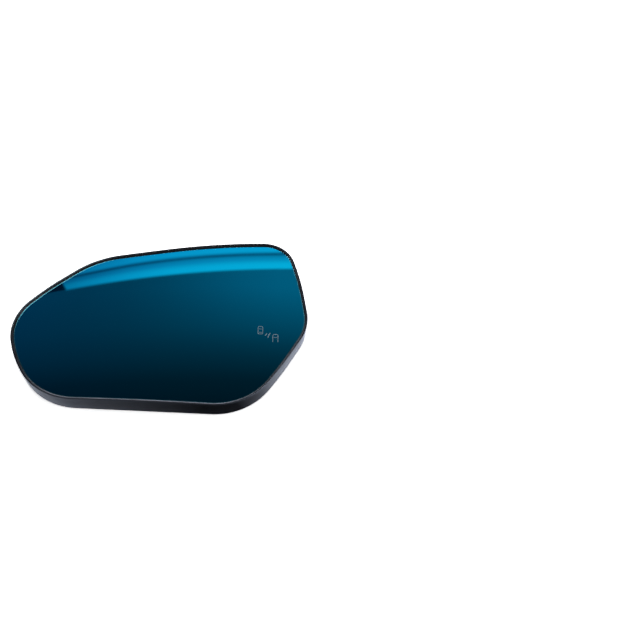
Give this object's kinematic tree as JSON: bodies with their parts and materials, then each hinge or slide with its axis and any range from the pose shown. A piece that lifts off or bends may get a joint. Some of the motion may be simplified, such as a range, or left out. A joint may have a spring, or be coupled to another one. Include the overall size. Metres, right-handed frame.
{
  "type": "car door mirror glass",
  "caption": "Convex heated mirror glass in a lipped plastic carrier with a spigot and snap claws, and a light module behind its warning symbol.",
  "frame": {"origin": "middle of the rim's outline, in the plane of its back edge, on which it lies", "axes": "+X along the mirror towards its tall outer end with the warning symbol, +Y towards its upper edge, +Z out of the glass"},
  "size_m": [0.1913, 0.1267, 0.016],
  "materials": {
    "carrier_plastic": "black moulded plastic, fine grain, satin on the rim",
    "blue_mirror": "blue tinted mirror coating under polished glass",
    "film_plastic": "smooth polyester film",
    "printed_silver": "printed silver ink",
    "foam": "fine closed-cell foam",
    "terminal_brass": "rolled brass strip, slightly dull",
    "rivet_brass": "pressed brass",
    "housing_plastic": "black moulded plastic, fine grain",
    "diffuser_plastic": "milky translucent plastic",
    "board_laminate": "green lacquered laminate",
    "led_resin": "clear resin over yellow phosphor",
    "resistor_ceramic": "glazed black ceramic",
    "pin_metal": "tinned contact metal",
    "screw_steel": "zinc plated steel"
  },
  "bodies": {
    "root": {"carrier": "carrier_plastic", "mirror_glass": "blue_mirror", "heater_film": "film_plastic", "heater_electrode_left": "printed_silver", "heater_electrode_right": "printed_silver", "foam_pad": "foam", "terminal_blade_left": "terminal_brass", "terminal_blade_right": "terminal_brass", "terminal_rivet_left": "rivet_brass", "terminal_rivet_right": "rivet_brass", "indicator_housing": "housing_plastic", "indicator_seal": "foam", "indicator_diffuser": "diffuser_plastic", "indicator_board": "board_laminate", "indicator_led_1": "led_resin", "indicator_led_2": "led_resin", "indicator_resistor": "resistor_ceramic", "connector_pin_1": "pin_metal", "connector_pin_2": "pin_metal", "indicator_screw_1": "screw_steel", "indicator_screw_2": "screw_steel"}
  },
  "joints": []
}
